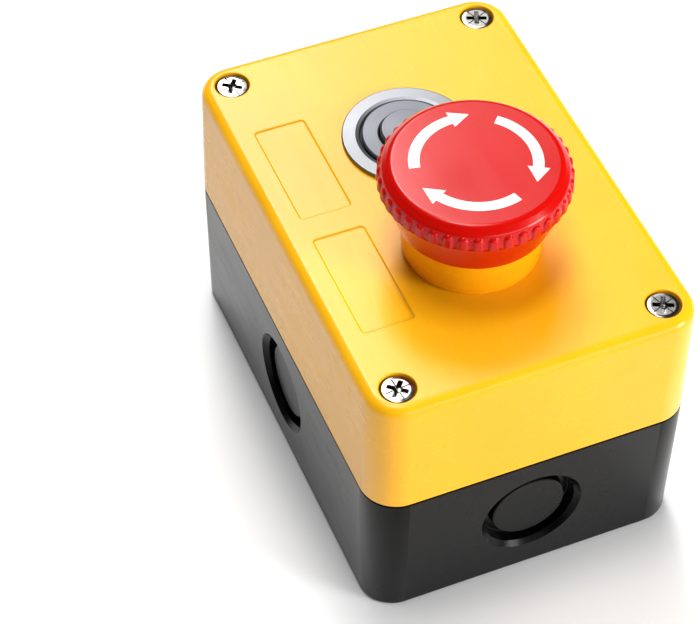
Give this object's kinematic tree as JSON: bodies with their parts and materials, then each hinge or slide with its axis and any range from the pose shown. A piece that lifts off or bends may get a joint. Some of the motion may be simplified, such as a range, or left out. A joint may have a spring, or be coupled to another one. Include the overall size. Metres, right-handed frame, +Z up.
{
  "type": "emergency stop station",
  "caption": "Surface-mounted control box with a twist-to-release mushroom emergency stop button and a key switch, each working its own contact block.",
  "frame": {"origin": "centre of the underside of the base", "axes": "+Z up out of the lid, +Y along the length from the button end to the key switch end, +X across the width to the right of the button when the key switch is behind it"},
  "size_m": [0.072, 0.104, 0.0884],
  "materials": {
    "yellow_plastic": "satin moulded ABS, finely textured",
    "collar_yellow": "semi-gloss moulded plastic",
    "black_plastic": "satin moulded plastic",
    "red_plastic": "gloss moulded plastic",
    "arrow_white": "printed white, semi-gloss",
    "grey_plastic": "satin moulded plastic",
    "green_plastic": "satin moulded plastic",
    "rubber": "matt rubber",
    "nickel": "bright nickel plate",
    "satin_chrome": "satin chrome, faint turning marks",
    "grey_metal": "grey anodised, fine turned",
    "brass": "plain brass with silver rivets",
    "spring_steel": "drawn spring wire"
  },
  "bodies": {
    "enclosure": {"base_box": "black_plastic", "lid": "yellow_plastic", "lid_gasket": "rubber", "lid_screw_1": "nickel", "lid_screw_2": "nickel", "lid_screw_3": "nickel", "lid_screw_4": "nickel", "estop_collar": "collar_yellow", "estop_panel_seal": "rubber", "estop_sleeve": "black_plastic", "estop_nut_washer": "rubber", "estop_ring_nut": "grey_plastic", "estop_return_spring": "spring_steel", "estop_contact_carrier": "grey_plastic", "estop_block_housing": "grey_plastic", "estop_block_cover": "grey_plastic", "estop_fixed_contact_right": "brass", "estop_fixed_contact_left": "brass", "estop_clamp_plate_right": "nickel", "estop_clamp_plate_left": "nickel", "estop_terminal_screw_right": "nickel", "estop_terminal_screw_left": "nickel", "estop_contact_spring": "spring_steel", "key_bezel": "satin_chrome", "key_trim_ring": "grey_metal", "key_sleeve": "black_plastic", "key_nut_washer": "rubber", "key_ring_nut": "grey_plastic", "key_contact_carrier": "grey_plastic", "key_block_housing": "grey_plastic", "key_block_cover": "grey_plastic", "key_fixed_contact_right": "brass", "key_fixed_contact_left": "brass", "key_clamp_plate_right": "nickel", "key_clamp_plate_left": "nickel", "key_terminal_screw_right": "nickel", "key_terminal_screw_left": "nickel", "key_contact_spring": "spring_steel"},
    "stem": {"estop_stem": "grey_plastic", "estop_twist_spring": "spring_steel"},
    "head": {"mushroom_head": "red_plastic"},
    "latch_right": {"estop_latch_pin_right": "nickel"},
    "latch_left": {"estop_latch_pin_left": "nickel"},
    "estop_contacts": {"estop_block_plunger": "green_plastic", "estop_contact_bridge": "brass"},
    "key": {"key_cylinder": "grey_metal", "key_cam": "grey_plastic"},
    "pusher": {"key_pusher": "grey_plastic"},
    "key_contacts": {"key_block_plunger": "green_plastic", "key_contact_bridge": "brass"}
  },
  "joints": [
    {"name": "estop_press", "type": "slide", "parent": "enclosure", "child": "stem", "axis": [0, 0, -1], "range_m": [0, 0.005], "stiffness_N_per_m": 900, "springref_m": -0.004, "deforming": ["estop_return_spring"]},
    {"name": "estop_twist", "type": "hinge", "parent": "stem", "child": "head", "pos_m": [0, -0.0157, 0.0787], "axis": [0, 0, -1], "range_deg": [0, 45], "stiffness_Nm_per_rad": 0.02, "springref_deg": -20.05},
    {"name": "latch_pin_right_slide", "type": "slide", "parent": "stem", "child": "latch_right", "axis": [1, 0, 0], "range_m": [0, 0.00112]},
    {"name": "latch_pin_left_slide", "type": "slide", "parent": "stem", "child": "latch_left", "axis": [-1, 0, 0], "range_m": [0, 0.00112]},
    {"name": "estop_contact_slide", "type": "slide", "parent": "enclosure", "child": "estop_contacts", "axis": [0, 0, -1], "range_m": [0, 0.0051], "stiffness_N_per_m": 250, "springref_m": -0.004, "deforming": ["estop_contact_spring"]},
    {"name": "key_pusher_slide", "type": "slide", "parent": "enclosure", "child": "pusher", "axis": [0, 0, -1], "range_m": [0, 0.003]},
    {"name": "key_turn", "type": "hinge", "parent": "enclosure", "child": "key", "pos_m": [0, 0.0167, 0.0647], "axis": [0, 0, -1], "range_deg": [0, 90.2]},
    {"name": "key_contact_slide", "type": "slide", "parent": "enclosure", "child": "key_contacts", "axis": [0, 0, -1], "range_m": [0, 0.00302], "stiffness_N_per_m": 250, "springref_m": -0.004, "deforming": ["key_contact_spring"]}
  ],
  "couplings": [
    {"joint": "latch_pin_right_slide", "follows": "estop_press", "ratio": 0.22},
    {"joint": "latch_pin_left_slide", "follows": "estop_press", "ratio": 0.22},
    {"joint": "estop_contact_slide", "follows": "estop_press", "ratio": 1},
    {"joint": "key_turn", "follows": "key_pusher_slide", "rad_per_m": 523.6},
    {"joint": "key_contact_slide", "follows": "key_pusher_slide", "ratio": 1}
  ]
}
